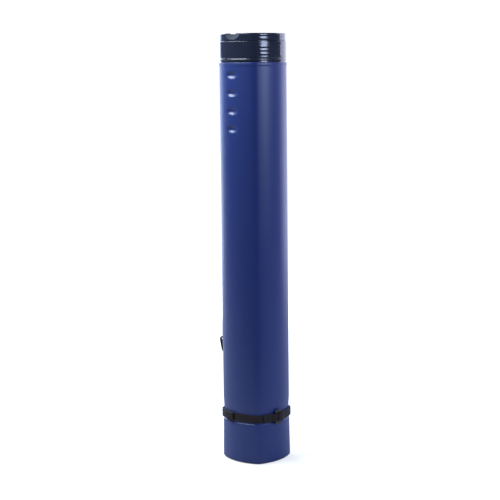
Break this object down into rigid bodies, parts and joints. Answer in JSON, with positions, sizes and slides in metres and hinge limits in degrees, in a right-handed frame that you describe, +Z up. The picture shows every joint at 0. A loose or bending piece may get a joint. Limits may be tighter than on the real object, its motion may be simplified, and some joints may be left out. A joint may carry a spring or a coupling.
{
  "type": "telescopic poster tube",
  "caption": "Telescopic poster tube of rounded square section with a dimpled sliding lock, push-on lid, base belt and shoulder strap.",
  "frame": {"origin": "centre of the foot's underside, on the surface that the tube stands on", "axes": "+Z up the tube, -Y out of the face with the pressed dimples, +X out of the face with the belt buckle"},
  "size_m": [0.1194, 0.097, 0.64],
  "materials": {
    "navy_plastic": "satin moulded plastic with a fine grain",
    "inner_plastic": "satin moulded plastic",
    "black_plastic": "glossy moulded plastic",
    "webbing": "woven polyester webbing",
    "hardware": "semi-gloss moulded plastic"
  },
  "bodies": {
    "outer": {"outer_tube": "navy_plastic", "base_belt": "webbing", "belt_buckle": "hardware", "shoulder_strap": "webbing", "strap_slider": "hardware"},
    "inner": {"inner_tube": "inner_plastic", "collar": "black_plastic"},
    "lid": {"lid": "black_plastic"}
  },
  "joints": [
    {"name": "tube_extension", "type": "slide", "parent": "outer", "child": "inner", "axis": [0, 0, 1], "range_m": [0, 0.4716]},
    {"name": "lid_lift", "type": "slide", "parent": "inner", "child": "lid", "axis": [0, 0, 1], "range_m": [0, 0.12]}
  ]
}
